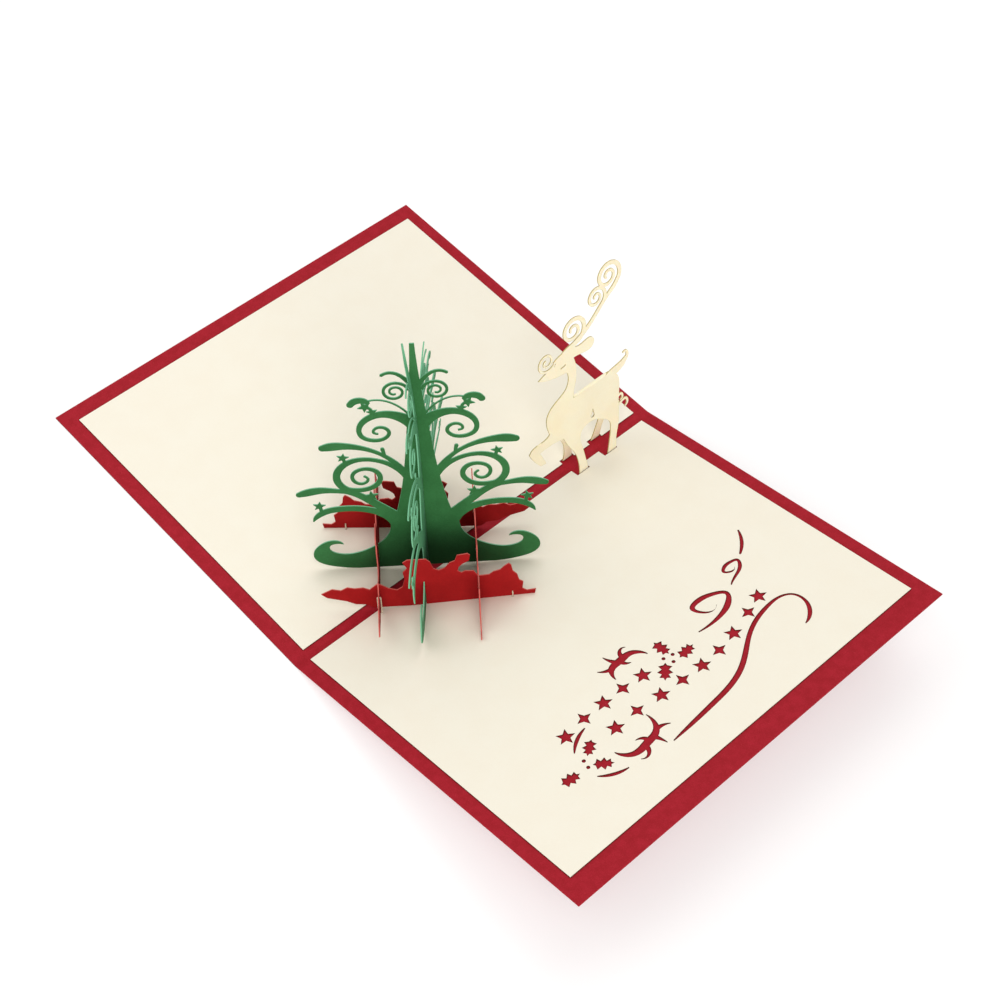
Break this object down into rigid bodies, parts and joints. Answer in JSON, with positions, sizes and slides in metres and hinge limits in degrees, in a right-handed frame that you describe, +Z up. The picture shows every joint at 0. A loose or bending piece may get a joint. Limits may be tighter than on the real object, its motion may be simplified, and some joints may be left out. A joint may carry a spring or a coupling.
{
  "type": "pop-up greeting card",
  "caption": "Open folding greeting card with lined halves, a slotted pop-up tree of crossing panels on a ragged red ground, and a folded paper reindeer on the fold.",
  "frame": {"origin": "under the middle of the opened card's footprint, on the surface it lies on", "axes": "+X across the fold towards the raised half with the cut-outs, +Y along the fold towards the reindeer, +Z up"},
  "size_m": [0.2406, 0.15, 0.0977],
  "materials": {
    "red_card": "deep red card with a fine pearl sparkle",
    "ivory_paper": "matt ivory paper",
    "green_card": "matt dyed green card",
    "scarlet_card": "matt dyed red card",
    "cream_card": "matt cream card with laser-browned edges",
    "cotton_thread": "twisted cotton thread"
  },
  "bodies": {
    "root": {"cover": "red_card", "liner_left": "ivory_paper", "liner_right": "ivory_paper", "tree_panel_wide": "green_card", "tree_panel_cross": "green_card", "ground_panel_front": "scarlet_card", "ground_panel_back": "scarlet_card", "ground_panel_left": "scarlet_card", "ground_panel_right": "scarlet_card", "reindeer": "cream_card", "tie_front": "cotton_thread", "tie_back": "cotton_thread", "tie_fold_near": "cotton_thread", "tie_fold_far": "cotton_thread"}
  },
  "joints": []
}
